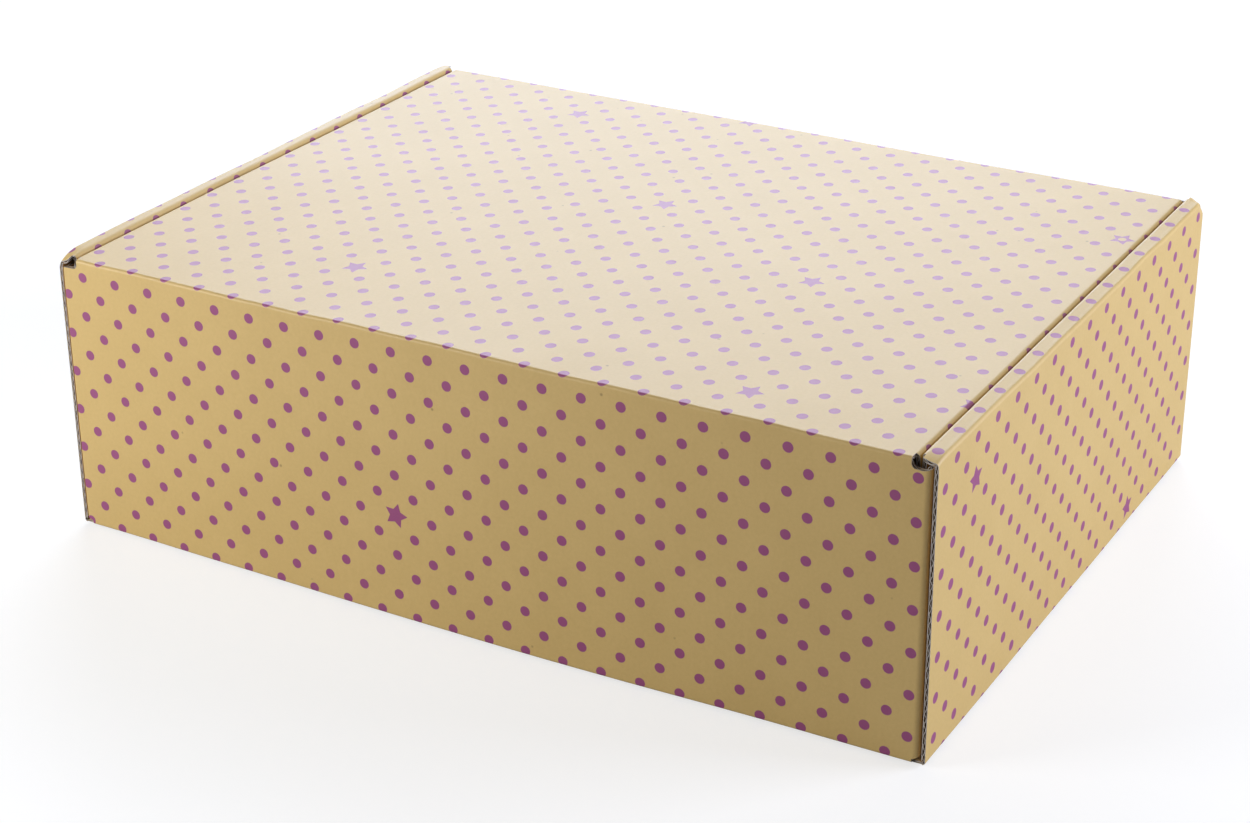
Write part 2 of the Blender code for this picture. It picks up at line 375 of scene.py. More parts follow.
printed_liner = make_paper(
    "kraft_liner_flexo_print", "#DDBD7B", "#D3B371", 0.5, ink_hex="#9A4481", washboard=0.000012
)
plain_liner = make_paper("plain_kraft_liner", "#C39F6C", "#B08B5A", 0.7, washboard=0.00002)
fluting_paper = make_paper("recycled_fluting_paper", "#8E7A62", "#6E5C48", 0.85)
cut_edge_paper = make_paper("die_cut_paper_edge", "#DAD2CA", "#A99F96", 0.9)
board_papers = [printed_liner, plain_liner, fluting_paper, cut_edge_paper]
OUTSIDE, INSIDE, FLUTES, EDGE = range(4)
print("papers:", [paper.name for paper in board_papers])

# %% [markdown]
# ## Corrugated board
#
# Fine mailing board has a flute every 3.5 mm and is 1.6 mm thick. A piece of it
# is three layers: two thin liners, and between them the fluted paper, which is
# a grid whose rows are moved up and down in a sine wave. Solidify gives each
# layer its paper thickness. The blank lies with its outer face at z = 0.

# %% Board sizes
board = 0.0016
liner = 0.00030
fluting = 0.00027
paper_gap = 0.00001
wave_height = board / 2 - liner - fluting / 2 - paper_gap
points_per_flute = 6
blank_margin = 0.001


def pick(*pieces):
    """Selects only these objects, and makes the first one active."""
    bpy.ops.object.select_all(action="DESELECT")
    for piece in pieces:
        piece.select_set(True)
    bpy.context.view_layer.objects.active = pieces[0]


def finish_with(piece, kind, **settings):
    """Adds a modifier, sets it and applies it."""
    pick(piece)
    modifier = piece.modifiers.new(kind.lower(), kind)
    for name, value in settings.items():
        setattr(modifier, name, value)
    bpy.ops.object.modifier_apply(modifier=modifier.name)


# %% Make a blank of board


def add_layer(low, high, cells, middle, thickness, paper, wave=None):
    """One layer of paper, between two corners, as a closed sheet."""
    bpy.ops.object.select_all(action="DESELECT")
    bpy.ops.mesh.primitive_grid_add(
        x_subdivisions=cells[0], y_subdivisions=cells[1], size=1, calc_uvs=False,
        location=((low[0] + high[0]) / 2, (low[1] + high[1]) / 2, middle),
    )
    layer = bpy.context.object
    layer.scale = (high[0] - low[0], high[1] - low[1], 1)
    bpy.ops.object.transform_apply(location=True, rotation=True, scale=True)
    if wave:
        axis, start = wave
        for vertex in layer.data.vertices:
            turn = 2 * math.pi * (vertex.co[axis] + start) / flute_pitch
            vertex.co.z += wave_height * math.sin(turn)
    finish_with(layer, "SOLIDIFY", thickness=thickness, offset=0)
    for material in board_papers:
        layer.data.materials.append(material)
    for face in layer.data.polygons:
        face.material_index = paper
    return layer


def make_blank(name, low, high, axis, start):
    """A rectangle of board. The wave runs along the axis and begins at start."""
    step = flute_pitch / points_per_flute
    low = list(low)
    high = list(high)
    low[axis] = math.floor((low[axis] + start) / step) * step - start
    high[axis] = math.ceil((high[axis] + start) / step) * step - start
    cells = [1, 1]
    cells[axis] = round((high[axis] - low[axis]) / step)
    outer = add_layer(low, high, (1, 1), -liner / 2, liner, OUTSIDE)
    inner = add_layer(low, high, (1, 1), -board + liner / 2, liner, INSIDE)
    core = add_layer(low, high, cells, -board / 2, fluting, FLUTES, (axis, start))
    pick(outer, inner, core)
    bpy.ops.object.join()
    outer.name = name
    outer.data.name = name
    return outer


# %% [markdown]
# A die cuts the sheet. Here the die is a curve through the corners of the
# outline, some of them rounded, filled and extruded, and a Boolean modifier
# keeps what lies inside it. The same tool cuts the slots. Where the knife went
# through, the paper's raw edge shows, so the cutter carries that paper.

# %% Punch an outline
corner_steps = 6


def rounded_outline(corners):
    """Points of a closed outline. Each corner is x, y and the radius of its arc, 0 where sharp."""
    points = []
    count = len(corners)
    for index, (x, y, radius) in enumerate(corners):
        corner = Vector((x, y))
        if radius == 0:
            points.append(corner)
            continue
        before = (Vector(corners[index - 1][:2]) - corner).normalized()
        after = (Vector(corners[(index + 1) % count][:2]) - corner).normalized()
        half_angle = before.angle(after) / 2
        setback = radius / math.tan(half_angle)
        centre = corner + (before + after).normalized() * (radius / math.sin(half_angle))
        start = corner + before * setback - centre
        end = corner + after * setback - centre
        turn = start.angle_signed(end)
        for step in range(corner_steps + 1):
            spoke = Matrix.Rotation(-turn * step / corner_steps, 2) @ start
            points.append(centre + spoke)
    return points


def make_cutter(points):
    """A prism through the board, on the outline of the die."""
    curve = bpy.data.curves.new("cutter", "CURVE")
    curve.dimensions = "2D"
    curve.fill_mode = "BOTH"
    curve.extrude = 4 * board
    spline = curve.splines.new("POLY")
    spline.points.add(len(points) - 1)
    for spline_point, point in zip(spline.points, points):
        spline_point.co = (point[0], point[1], 0, 1)
    spline.use_cyclic_u = True
    cutter = bpy.data.objects.new("cutter", curve)
    bpy.context.scene.collection.objects.link(cutter)
    pick(cutter)
    bpy.ops.object.convert(target="MESH")
    bpy.ops.object.mode_set(mode="EDIT")
    bpy.ops.mesh.select_all(action="SELECT")
    bpy.ops.mesh.remove_doubles(threshold=0.000001)
    bpy.ops.mesh.dissolve_limited(angle_limit=math.radians(0.5))
    bpy.ops.mesh.normals_make_consistent(inside=False)
    bpy.ops.object.mode_set(mode="OBJECT")
    cutter = bpy.context.object
    cutter.data.materials.clear()
    for material in board_papers:
        cutter.data.materials.append(material)
    for face in cutter.data.polygons:
        face.material_index = EDGE
    return cutter


def punch(piece, points, operation="INTERSECT"):
    """Keeps what is inside the outline, or cuts a hole there with DIFFERENCE."""
    cutter = make_cutter(points)
    finish_with(piece, "BOOLEAN", object=cutter, operation=operation, solver="EXACT")
    bpy.data.objects.remove(cutter, do_unlink=True)


# %% [markdown]
# A crease is pressed into the board before it is folded: along it the flutes
# are crushed, and the board is thinner. A fold then turns everything beyond a
# line round an arc. Blender's Bend modifier could do it, but a fold has to end
# exactly where the next panel begins, so the vertices are moved by a short
# function. Lines of edges across the arc, made with bisect, let it go round.

# %% Score, crease and fold
crease_reach = 0.0012
least_crush = 0.12
inner_bend = 0.00015
arc_steps = 6
pinch_reach = 0.0022
pinch_share = 0.26
crease_lines = (0.25, 0.5, 0.75, 1)
pinch_lines = (0.3, 0.65, 1)
tiny = 0.00001


def score(piece, axis, places):
    """Adds a line of edges across the piece at each place, as a loop cut would."""
    values = [vertex.co[axis] for vertex in piece.data.vertices]
    low = min(values) + tiny
    high = max(values) - tiny
    normal = [0, 0, 0]
    normal[axis] = 1
    pick(piece)
    bpy.ops.object.mode_set(mode="EDIT")
    for place in sorted(set(round(value, 6) for value in places)):
        if low < place < high:
            point = [0, 0, 0]
            point[axis] = place
            bpy.ops.mesh.select_all(action="SELECT")
            bpy.ops.mesh.bisect(plane_co=point, plane_no=normal)
    bpy.ops.object.mode_set(mode="OBJECT")


def ease(value):
    """0 below 0, 1 above 1, and a smooth slope between them. Takes a number or an array."""
    value = np.clip(value, 0, 1)
    return value * value * (3 - 2 * value)


def crease_thickness(piece, axis, first, last, radius):
    """What share of the board is left along a crease, so that it can go round the radius."""
    share = max(least_crush, 1 - (radius - inner_bend) / board)
    places = np.array([vertex.co[axis] for vertex in piece.data.vertices])
    away = np.maximum(np.maximum(first - places, places - last), 0) / crease_reach
    return 1 - share * (1 - ease(away))


def cut_segments(outline, creases):
    """The straight parts of the outline that the knife cut. Where a crease goes on, none did."""
    segments = []
    for index, end in enumerate(outline):
        start = outline[index - 1]
        joined = any(
            abs(start[axis] - place) < tiny and abs(end[axis] - place) < tiny
            for axis, first, last, radius in creases for place in (first, last)
        )
        if not joined:
            segments.append((start, end))
    return segments


def edge_thickness(piece, segments):
    """What share of the board is left near its cut edges, where the knife squeezed it."""
    places = np.array([vertex.co[:2] for vertex in piece.data.vertices])
    nearest = np.full(len(places), pinch_reach)
    for start, end in segments:
        start = np.array(start[:2])
        along = np.array(end[:2]) - start
        share = np.clip((places - start) @ along / (along @ along), 0, 1)
        away = np.linalg.norm(places - start - share[:, None] * along, axis=1)
        nearest = np.minimum(nearest, away)
    return 1 - pinch_share * (1 - ease(nearest / pinch_reach))


def fold(piece, axis, start, direction, radius, angle):
    """Bends what lies beyond start, towards the inner side, round an arc."""
    arc = radius * angle
    for vertex in piece.data.vertices:
        beyond = (vertex.co[axis] - start) * direction
        if beyond <= 0:
            continue
        height = vertex.co.z
        turn = min(beyond, arc) / radius
        flat = beyond - min(beyond, arc)
        along = (radius + height) * math.sin(turn) + flat * math.cos(turn)
        vertex.co[axis] = start + direction * along
        vertex.co.z = (radius + height) * math.cos(turn) - radius - flat * math.sin(turn)


# %% [markdown]
# No folded box is quite straight. Its rear wall bows out a little at the
# bottom, the crease of the lid and the edges of the rolls waver where the
# flutes gave way, and the flat panels are never really flat. One smooth field
# moves every piece, so that pieces which meet still meet.

# %% The box in the hand
half_length = 0.150
half_depth = 0.110
box_height = 0.095
lid_top = 0.0943
inner_face = 0.1444
bow_depth = 0.0022
bow_start = 0.055
top_bow = 0.15
hinge_reach = 0.012
hinge_margin = 0.004
hinge_lift = 0.00040
hinge_sway = 0.00045
roll_reach = 0.009
roll_waver = 0.00035
roll_sag = 0.3
roll_tilt = 0.0003
tilt_depth = 0.03
dent_radius = 0.0052
press_from_x = 0.1437
press_width = 0.0040
press_from_z = 0.0912
press_height = 0.0030
uneven_size = 0.055
uneven_depth = 0.00028
# Without a seed, Blender's vector noise is another one in each run
noise.seed_set(1)

# How far the outer corner of each roll's end is pushed in and down, how far its whole width
# is pressed down, and how far along the roll this reaches. The keys say: right side, rear end
roll_end_dents = {
    (False, True): (0.0003, 0.0004, 0.0007, 0.007),
    (False, False): (0.0015, 0.0015, 0, 0.006),
    (True, True): (0.0006, 0.0006, 0.0016, 0.009),
    (True, False): (0.0002, 0.0003, 0, 0.005),
}


def waver(place, size, seed):
    """Smooth noise between about -1 and 1 along a line."""
    return noise.noise(Vector((place / size, seed, 0.37)))


def handled(point):
    """Where a point of the ideal box is on this one."""
    x, y, z = point
    near_rear = ease((y - bow_start) / (half_depth - bow_start))
    low = 1 - z / box_height
    mid_wall = math.cos(math.pi * x / (2 * half_length)) ** 2
    bow = bow_depth * near_rear * mid_wall * (top_bow + (1 - top_bow) * low)
    moved = Vector((x, y + bow, z))
    from_hinge = math.hypot(y - half_depth, z - lid_top)
    at_hinge = 1 - ease(from_hinge / hinge_reach)
    at_hinge *= ease((half_length - hinge_margin - abs(x)) / hinge_reach)
    moved.z += hinge_lift * at_hinge * waver(x, size=0.019, seed=1.3)
    moved.y += hinge_sway * at_hinge * waver(x, size=0.031, seed=7.9)
    from_roll = math.hypot(abs(x) - half_length, z - box_height)
    at_roll = 1 - ease(from_roll / roll_reach)
    side = math.copysign(1, x)
    moved.x += side * roll_waver * at_roll * waver(y, size=0.024, seed=3.1 + side)
    moved.z += roll_waver * at_roll * (waver(y, size=0.027, seed=5.2 + side) - roll_sag)
    outward = min(max((abs(x) - inner_face) / (half_length - inner_face), 0), 1)
    moved.z -= roll_tilt * outward * (1 - ease((box_height - z) / tilt_depth))
    inward, down, press, reach = roll_end_dents[x > 0, y > 0]
    at_end = max((abs(y) - half_depth + reach) / reach, 0) ** 2
    at_corner = at_end * (1 - ease(from_roll / dent_radius))
    moved.x -= side * inward * at_corner
    moved.z -= down * at_corner
    on_top = ease((abs(x) - press_from_x) / press_width) * ease((z - press_from_z) / press_height)
    moved.z -= press * at_end * on_top
    return moved + uneven_depth * noise.noise_vector(point / uneven_size)


# %% [markdown]
# All the steps together make a panel. Its outline is drawn flat, with x along
# the crease that it hangs on and y across the panel. A function says where it
# lies on the printed sheet, and a matrix takes it to its place on the box.

# %% Make a panel
RIGHT = Vector((1, 0, 0))
REAR = Vector((0, 1, 0))
UP = Vector((0, 0, 1))
smooth_angle = math.radians(32)


def steps_between(low, high, spacing):
    """Multiples of the spacing between two places."""
    steps = range(math.ceil(low / spacing), math.floor(high / spacing) + 1)
    return [step * spacing for step in steps]


def fill_map(piece, name, values):
    """Gives the piece a UV map. values holds one pair for each vertex."""
    layer = piece.data.uv_layers.new(name=name)
    corners = np.empty(len(piece.data.loops), dtype=np.int32)
    piece.data.loops.foreach_get("vertex_index", corners)
    layer.data.foreach_set("uv", np.asarray(values, dtype=np.float32)[corners].ravel())


def make_panel(name, corners, wave_axis, wave_start, sheet, frame_at, folds=(), creases=(), holes=(),
               lines=(0.012, 0.012), more_lines=((), ()), blunt=False):
    """Blank, die cut, print, creases and folds, then the place on the box.

    sheet is a function from the flat place to the lattice of the print.
    frame_at is the origin, the direction of x and the direction of y.
    A fold is axis, start, direction, radius and angle. A crease is axis,
    first and last place, and radius. lines holds the spacing of the extra lines
    of edges along x and along y, and more_lines the places of some more. A blunt
    panel keeps its full thickness at its cut edges.
    """
    outline = rounded_outline(corners)
    xs = [point[0] for point in outline]
    ys = [point[1] for point in outline]
    low = (min(xs) - blank_margin, min(ys) - blank_margin)
    high = (max(xs) + blank_margin, max(ys) + blank_margin)
    piece = make_blank(name, low, high, wave_axis, wave_start)
    punch(piece, outline)
    for hole in holes:
        punch(piece, rounded_outline(hole), "DIFFERENCE")
    cuts = [steps_between(low[0], high[0], lines[0]), steps_between(low[1], high[1], lines[1])]
    for axis, first, last, radius in creases:
        for step in range(arc_steps + 1):
            cuts[axis].append(first + (last - first) * step / arc_steps)
        for share in crease_lines:
            cuts[axis] += [first - share * crease_reach, last + share * crease_reach]
    knife_cuts = cut_segments(outline, creases)
    for start, end in knife_cuts:
        for axis in (0, 1):
            if abs(start[axis] - end[axis]) < tiny:
                inwards = 1 if start[axis] < (low[axis] + high[axis]) / 2 else -1
                cuts[axis] += [start[axis] + inwards * share * pinch_reach for share in pinch_lines]
    for axis in (0, 1):
        score(piece, axis, cuts[axis] + list(more_lines[axis]))
    flat = [vertex.co.copy() for vertex in piece.data.vertices]
    fill_map(piece, "sheet", [sheet(place.x, place.y) for place in flat])
    fill_map(piece, "flutes", [
        (place[wave_axis] + wave_start, place[1 - wave_axis]) for place in flat
    ])
    left = np.ones(len(flat)) if blunt else edge_thickness(piece, knife_cuts)
    for axis, first, last, radius in creases:
        left = np.minimum(left, crease_thickness(piece, axis, first, last, radius))
    for vertex, share in zip(piece.data.vertices, left):
        vertex.co.z *= share
    for axis, start, direction, radius, angle in folds:
        fold(piece, axis, start, direction, radius, angle)
    origin, along, across = frame_at
    turn = Matrix((along, across, along.cross(across))).transposed()
    piece.data.transform(Matrix.Translation(origin) @ turn.to_4x4())
    for vertex in piece.data.vertices:
        vertex.co = handled(vertex.co)
    pick(piece)
    bpy.ops.object.shade_smooth_by_angle(angle=smooth_angle)
    return piece


def keep_on(piece, body, slot, *nodes):
    """The piece moves with a body and stands for CAD nodes, which it hides. slot is not used."""
    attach(piece, body)
    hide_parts(*nodes)
    print(piece.name, "on", body, "with", len(piece.data.polygons), "faces")


# %% [markdown]
# ## Sizes of the folds
#
# The numbers here repeat the CAD part. A fold's arc is shorter than the corner
# that it replaces, and the sheet is measured along the arc, so that the print
# does not stretch.

# %% Fold sizes
quarter = math.pi / 2
fold_radius = 0.0009
corner_radius = {-1: 0.0018, 1: 0.0006}
side_radius = 0.0013
roll_radius = 0.0011
inner_radius = {-1: 0.0009, 1: 0.0018}
fold_arc = fold_radius * quarter
roll_arc = roll_radius * quarter
side_arc = side_radius * quarter
corner_fold_x = 0.1481
shoulder_height = 0.091
shoulder_rise = {-1: 0.0012, 1: 0.0002}
lid_half = 0.1436
hinge_half = 0.1423
roll_half_depth = 0.1094
inner_half_depth = 0.1074
hinge_start = lid_top - fold_radius
cad_tuck_length = 0.050
tuck_hinge_depth = 0.0019
tuck_reach = 0.218
tuck_lean = math.asin((cad_tuck_length + 2 * tuck_hinge_depth) / (2 * tuck_reach))
tuck_angle = quarter + tuck_lean
tuck_setback = fold_radius * math.tan(tuck_angle / 2)
tuck_corner_y = -0.10823
lid_front_start = tuck_corner_y + tuck_setback
lid_length = half_depth - fold_radius - lid_front_start
print("lid, flat from arc to arc:", round(lid_length * 1000, 2), "mm")

# %% [markdown]
# ## The rear wall
#
# The rear wall is what the photograph shows in front. Below it goes round to
# the bottom, at its ends it goes round to the corner flaps, and it is notched
# where those flaps have to pass under the rolled side walls.

# %% Rear wall
print_middle = -0.665
print_shift = 0.09
crease_v = fold_arc / 2 / lattice_step_up


def sheet_at(v, step, turn=1):
    """Where the print is on a flat piece. v is that of its line y = 0, step that along y."""
    return lambda x, y: (turn * x / lattice_step + print_middle, v + y / step)


rear_v = -hinge_start / lattice_step_up - crease_v - print_shift
rear_sheet = sheet_at(rear_v, lattice_step_up)

# The crease to the corner flap is soft at the left and sharp at the right
bottom_reach = fold_arc - fold_radius
foot_half = 0.1460
foot_top = 0.0014
flap_low = 0.0024
notch_half = 0.1458
corner_start = {side: corner_fold_x - radius for side, radius in corner_radius.items()}
side_reach = {side: corner_start[side] + radius * quarter for side, radius in corner_radius.items()}


def end_wall_corners(top, top_half, flip):
    """Outline of the rear or front wall, laid flat. flip is the side that x points to."""
    def half(side):
        reach = side_reach[side]
        corners = [
            (foot_half, -bottom_reach, 0), (foot_half, foot_top, 0.0003),
            (reach, flap_low, 0.0006), (reach, shoulder_height + shoulder_rise[side], 0.0003),
            (notch_half, shoulder_height, 0.002), (top_half, shoulder_height, 0.0015),
            (top_half, top, 0),
        ]
        return [(side * flip * x, y, radius) for x, y, radius in corners]

    return half(flip) + half(-flip)[::-1]


def end_wall_bends(flip):
    """The folds and the creases of an end wall: one at the bottom and one to each corner flap."""
    folds = [(1, fold_radius, -1, fold_radius, quarter)]
    creases = [(1, -bottom_reach, fold_radius, fold_radius)]
    for side, radius in corner_radius.items():
        sign = side * flip
        first, last = sorted((sign * corner_start[side], sign * side_reach[side]))
        folds.insert(0, (0, sign * corner_start[side], sign, radius, quarter))
        creases.append((0, first, last, radius))
    return folds, creases


wall_folds, wall_creases = end_wall_bends(-1)
rear_wall = make_panel(
    "rear_wall_board", end_wall_corners(hinge_start, hinge_half, -1),
    0, 0, rear_sheet, (REAR * half_depth, -RIGHT, UP),
    wall_folds, wall_creases + [(1, hinge_start, hinge_start + fold_arc, fold_radius)],
    lines=(0.006, 0.008), blunt=True,
)
keep_on(rear_wall, "box", "printed_board", "rear_wall")

# %% [markdown]
# ## The lid and its creases
#
# The lid hangs on the rear wall by the crease alone: only paper joins them. So
# the crease is a piece of its own, bent round its arc between the two.

# %% Hinge crease


def rectangle(left, right, low, high):
    """The corners of a rectangle."""
    return [(left, low, 0), (right, low, 0), (right, high, 0), (left, high, 0)]


def make_crease(name, left, right, radius, wave_axis, wave_start, sheet, frame_at, spacing,
                angle=quarter, **more):
    """A strip of board that is one crease from edge to edge, bent to an arc."""
    arc = radius * angle
    return make_panel(
        name, rectangle(left, right, 0, arc), wave_axis, wave_start, sheet, frame_at,
        [(1, 0, 1, radius, angle)], [(1, 0, arc, radius)], lines=(spacing, 1), **more,
    )


hinge_crease = make_crease(
    "hinge_crease", -hinge_half, hinge_half, fold_radius,
    0, 0, sheet_at(-crease_v - print_shift, lattice_step_up),
    (REAR * half_depth + UP * hinge_start, -RIGHT, UP), spacing=0.006, blunt=True,
)
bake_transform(hinge_crease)

# %% Lid
dust_rear = 0.1072
dust_front = -0.054
lid_side = lid_half - side_radius
lid_back = half_depth - fold_radius
lid_v = crease_v - print_shift
lid_reach = lid_side + side_arc
lid_corners = [
    (hinge_half, 0, 0), (lid_side, lid_back - dust_rear, 0), (lid_side, lid_back - dust_front, 0),
    (lid_reach, lid_back - dust_front, 0), (lid_reach, lid_length, 0),
]
lid_corners += [(-x, y, radius) for x, y, radius in reversed(lid_corners)]
lid_panel = make_panel(
    "lid_board", lid_corners, 0, 0, sheet_at(lid_v, lattice_step_deep),
    (REAR * lid_back + UP * lid_top, -RIGHT, -REAR),
    [(0, lid_side, 1, side_radius, quarter), (0, -lid_side, -1, side_radius, quarter)],
    [(0, lid_side, lid_reach, side_radius), (0, -lid_reach, -lid_side, side_radius),
     (1, -fold_arc, 0, fold_radius), (1, lid_length, lid_length + fold_arc, fold_radius)],
    lines=(0.006, 0.012),
)
keep_on(lid_panel, "lid", "printed_board", "lid_panel")

# %% [markdown]
# The tuck flap at the lid's front edge leans in a little, so that it goes down
# behind the front wall. Its crease turns a little more than a right angle.

# %% Tuck flap and its crease
tuck_half = 0.1426
tuck_arc = fold_radius * tuck_angle
tuck_v = lid_length / lattice_step_deep + lid_v
tuck_crease = make_crease(
    "tuck_crease", -tuck_half, tuck_half, fold_radius, 0, 0, sheet_at(tuck_v, lattice_step_up),
    (REAR * lid_front_start + UP * lid_top, -RIGHT, -REAR), spacing=0.006, angle=tuck_angle,
)
tuck_down = Vector((0, math.sin(tuck_lean), -math.cos(tuck_lean)))
tuck_corner = Vector((0, tuck_corner_y, lid_top))
tuck_start = tuck_corner + tuck_down * tuck_setback
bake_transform(tuck_crease)

tuck_length = 0.0506
tuck_taper = 0.003
tuck_round = 0.012
tuck_flap = make_panel(
    "tuck_flap_board",
    [(-tuck_half, 0, 0), (tuck_half, 0, 0), (tuck_half - tuck_taper, tuck_length, tuck_round),
     (-tuck_half + tuck_taper, tuck_length, tuck_round)],
    0, 0, sheet_at(tuck_v + tuck_arc / lattice_step_up, lattice_step_up),
    (tuck_start, -RIGHT, tuck_down), creases=[(1, -tuck_arc, 0, fold_radius)],
)
keep_on(tuck_flap, "tuck", "printed_board", "tuck_flap")

# %% [markdown]
# ## Front wall and bottom
#
# The front wall is cut off just under the lid. The bottom lies between the
# arcs of the four walls and has four slots for the tabs.

# %% Front wall
front_top = 0.0931
front_top_half = 0.1438
front_sheet = sheet_at(-22.4, -lattice_step_up, turn=-1)
front_folds, front_creases = end_wall_bends(1)
front_wall = make_panel(
    "front_wall_board", end_wall_corners(front_top, front_top_half, 1),
    0, 0, front_sheet, (-REAR * half_depth, RIGHT, UP), front_folds, front_creases,
)
keep_on(front_wall, "box", "printed_board", "front_wall")

# %% Bottom
bottom_half_x = half_length - fold_radius
bottom_half_y = half_depth - fold_radius
bottom_edge_v = -7.2
bottom_v = bottom_edge_v - bottom_half_y / lattice_step_deep
half_tab = 0.018
tab_place = 0.24 * 2 * half_depth
tab_places = (-tab_place, tab_place)
slot_gap = 0.0005
slot_end_gap = 0.0006
slot_near = inner_face - slot_gap
slot_far = inner_face + board + slot_gap
half_slot = half_tab + slot_end_gap
slots = []
for side in (-1, 1):
    near, far = sorted((side * slot_near, side * slot_far))
    for middle in tab_places:
        slots.append(rectangle(near, far, middle - half_slot, middle + half_slot))
bottom_creases = []
for axis, half in ((0, bottom_half_x), (1, bottom_half_y)):
    bottom_creases.append((axis, half, half + fold_arc, fold_radius))
    bottom_creases.append((axis, -half - fold_arc, -half, fold_radius))
bottom_panel = make_panel(
    "bottom_board", rectangle(-bottom_half_x, bottom_half_x, -bottom_half_y, bottom_half_y),
    0, 0, sheet_at(bottom_v, -lattice_step_deep, turn=-1),
    (Vector((0, 0, 0)), RIGHT, -REAR), creases=bottom_creases, holes=slots,
)
keep_on(bottom_panel, "box", "printed_board", "bottom_panel")

# %% [markdown]
# ## The rolled side walls
#
# A side wall goes up, over and down again: outer wall, a crease, the narrow
# strip on top, a second crease, and the inner wall with its two tabs, which
# lock in the bottom. The flutes run along the roll, so at its ends one
# looks into them. Every part is measured along the same line, from the bottom
# crease, so that flutes and print go on from one to the next.

# %% Sizes along the roll
outer_top = box_height - roll_radius
strip_start_x = half_length - roll_radius
along_strip = outer_top + roll_arc
inner_low = 0.0019
notch_low = 0.0054
tab_top = 0.0051
tab_tip = 0.0002
half_tip = 0.0176
root_gap = 0.0003
side_first_u = {1: -12.2, -1: 11.02}
side_v = -7.1
lattice_step_side = 0.0130
print("side sheet from bottom to strip:", round(along_strip * 1000, 1), "mm")

# %% Side walls
roll_end_lines = [
    end * (roll_half_depth - away)
    for end in (-1, 1) for away in (0.0035, 0.005, 0.0065, 0.008, 0.010, 0.012, 0.014, 0.016)
]
under_roll = [outer_top - away for away in (0.0012, 0.0022, 0.0034, 0.0048, 0.0064)]


def make_side(name, side):
    """One rolled side wall, from the bottom crease to the tabs. side is 1 or -1 along X."""
    along = REAR * side
    edge = RIGHT * side
    bend = inner_radius[side]
    bend_arc = bend * quarter
    strip_end_x = inner_face + bend
    strip_width = strip_start_x - strip_end_x
    along_inner_crease = along_strip + strip_width
    along_inner = along_inner_crease + bend_arc
    inner_top = box_height - bend
    step_u = -side / lattice_step_side

    def sheet_from(start):
        return lambda x, y: (
            side_first_u[side] + (start + y) * step_u,
            side_v - (half_depth - side * x) / lattice_step_deep,
        )

    outer_wall = make_panel(
        name + "_outer_wall_board",
        rectangle(-roll_half_depth, roll_half_depth, -bottom_reach, outer_top),
        1, 0, sheet_from(0), (edge * half_length, along, UP),
        [(1, fold_radius, -1, fold_radius, quarter)],
        [(1, -bottom_reach, fold_radius, fold_radius),
         (1, outer_top, outer_top + roll_arc, roll_radius)],
        lines=(0.010, 0.012), more_lines=(roll_end_lines, under_roll),
    )
    keep_on(outer_wall, "box", "printed_board", name + "_outer_wall")

    roll_crease = make_crease(
        name + "_roll_crease", -roll_half_depth, roll_half_depth, roll_radius,
        1, outer_top, sheet_from(outer_top), (edge * half_length + UP * outer_top, along, UP),
        spacing=0.010, more_lines=(roll_end_lines, ()),
    )
    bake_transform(roll_crease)

    roll_top = make_panel(
        name + "_roll_top_board", rectangle(-roll_half_depth, roll_half_depth, 0, strip_width),
        1, along_strip, sheet_from(along_strip),
        (edge * strip_start_x + UP * box_height, along, -edge),
        creases=[(1, -roll_arc, 0, roll_radius), (1, strip_width, strip_width + bend_arc, bend)],
        lines=(0.010, 1), more_lines=(roll_end_lines, ()),
    )
    keep_on(roll_top, name + "_roll", "printed_board", name + "_roll_top")

    inner_crease = make_crease(
        name + "_inner_crease", -inner_half_depth, inner_half_depth, bend,
        1, along_inner_crease, sheet_from(along_inner_crease),
        (edge * strip_end_x + UP * box_height, along, -edge),
        spacing=0.010, more_lines=(roll_end_lines, ()),
    )
    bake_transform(inner_crease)

    reach = inner_top - inner_low
    corners = [
        (-inner_half_depth, 0, 0), (inner_half_depth, 0, 0), (inner_half_depth, reach, 0.003),
    ]
    half_root = half_tab + root_gap
    for middle in sorted(tab_places, reverse=True):
        corners += [
            (middle + half_root, reach, 0), (middle + half_root, inner_top - notch_low, 0),
            (middle - half_root, inner_top - notch_low, 0), (middle - half_root, reach, 0),
        ]
    corners.append((-inner_half_depth, reach, 0.003))
    inner_wall = make_panel(
        name + "_inner_wall_board", corners, 1, along_inner, sheet_from(along_inner),
        (edge * inner_face + UP * inner_top, along, -UP), creases=[(1, -bend_arc, 0, bend)],
        more_lines=(roll_end_lines, (0.002, 0.0035, 0.005, 0.007)),
    )
    keep_on(inner_wall, name + "_inner", "printed_board", name + "_inner_wall")

    for tab_name, middle in zip(("front", "rear"), tab_places):
        start = inner_top - tab_top
        tip = inner_top - tab_tip
        centre = side * middle
        tab = make_panel(
            name + "_" + tab_name + "_tab_board",
            [(centre - half_tab, start, 0), (centre + half_tab, start, 0),
             (centre + half_tip, tip, 0.0006), (centre - half_tip, tip, 0.0006)],
            1, along_inner, sheet_from(along_inner),
            (edge * inner_face + UP * inner_top, along, -UP),
        )
        keep_on(tab, name + "_inner", "printed_board", name + "_" + tab_name + "_tab")


make_side("left", -1)
make_side("right", 1)

# %% [markdown]
# ## Dust flaps and corner flaps
#
# A dust flap hangs at each side of the lid, inside the roll, and keeps dust out
# of the corner. The corner flaps turn from the rear and front walls into the
# rolls, which hold them.

# %% Dust flaps
dust_start = lid_top - side_radius
cad_dust_length = 0.0420
cad_gap = 0.00015
dust_length = cad_dust_length - (lid_top - board - cad_gap - dust_start)
front_taper = 0.010
rear_taper = 0.005
dust_round = 0.010


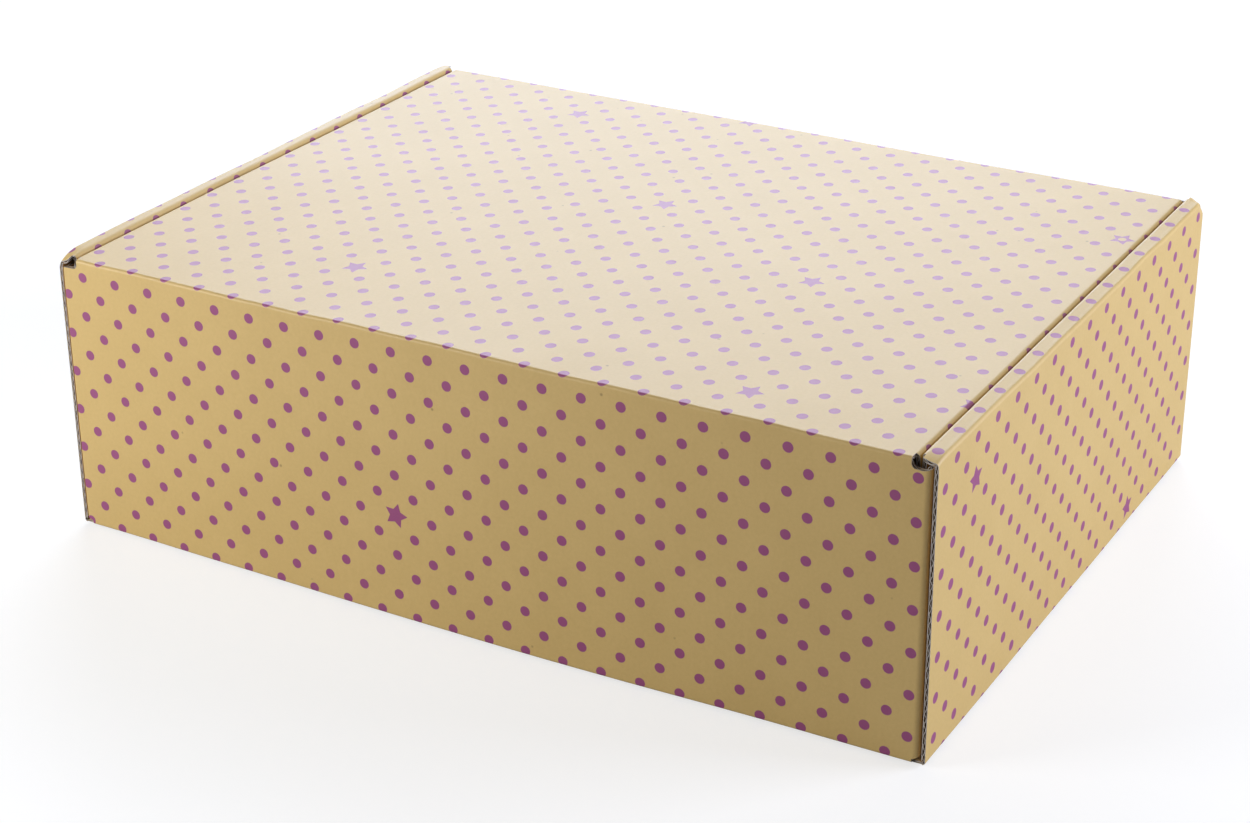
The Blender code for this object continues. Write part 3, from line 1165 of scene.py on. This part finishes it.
def make_dust_flap(name, side):
    """The flap at the lid's side, with the crease that it hangs on."""
    flip = -side
    edge = RIGHT * side
    first_u = flip * lid_side / lattice_step + print_middle

    def dust_sheet(start):
        return lambda x, y: (
            first_u + flip * (start + y) / lattice_step,
            lid_v + (lid_back - flip * x) / lattice_step_deep,
        )

    near, far = sorted((flip * dust_rear, flip * dust_front))
    dust_crease = make_crease(
        name + "_dust_crease", near, far, side_radius, 1, lid_side, dust_sheet(0),
        (edge * lid_side + UP * lid_top, REAR * flip, edge), spacing=0.012,
    )
    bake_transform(dust_crease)

    corners = [
        (flip * dust_rear, 0, 0), (flip * dust_front, 0, 0),
        (flip * (dust_front + front_taper), dust_length, dust_round),
        (flip * (dust_rear - rear_taper), dust_length, dust_round),
    ]
    if flip > 0:
        corners.reverse()
    dust_flap = make_panel(
        name + "_dust_flap_board", corners, 1, lid_reach, dust_sheet(side_arc),
        (edge * lid_half + UP * dust_start, REAR * flip, -UP),
        creases=[(1, -side_arc, 0, side_radius)],
    )
    keep_on(dust_flap, name + "_dust", "printed_board", name + "_dust_flap")


make_dust_flap("left", -1)
make_dust_flap("right", 1)

# %% Corner flaps
flap_reach = 0.0836
flap_step = 0.003
flap_taper = 0.008
flap_round = 0.012


def make_corner_flap(name, side, end):
    """A flap inside a roll. side and end are 1 or -1 along X and Y."""
    flip = side * end
    radius = corner_radius[side]
    reach = side_reach[side]
    corners = [
        (flap_low, radius, 0), (shoulder_height + shoulder_rise[side], radius, 0),
        (shoulder_height, radius + flap_step, 0),
        (shoulder_height - flap_taper, flap_reach, flap_round),
        (flap_low + flap_taper, flap_reach, flap_round),
    ]
    corners = [(x * flip, y, rounding) for x, y, rounding in corners]
    if flip < 0:
        corners.reverse()
    step_u = -side / lattice_step
    first_u = step_u * reach + print_middle
    wall_sheet = rear_sheet if end > 0 else front_sheet

    def flap_sheet(x, y):
        return (first_u + step_u * (y - radius), wall_sheet(0, flip * x)[1])

    flap = make_panel(
        name + "_board", corners, 1, reach - radius, flap_sheet,
        (RIGHT * side * corner_fold_x + REAR * end * half_depth, UP * flip, -REAR * end),
        creases=[(1, radius - radius * quarter, radius, radius)],
    )
    keep_on(flap, "box", "printed_board", name)


for side_name, side_sign in (("left", -1), ("right", 1)):
    make_corner_flap("rear_" + side_name + "_corner_flap", side_sign, 1)
    make_corner_flap("front_" + side_name + "_corner_flap", side_sign, -1)
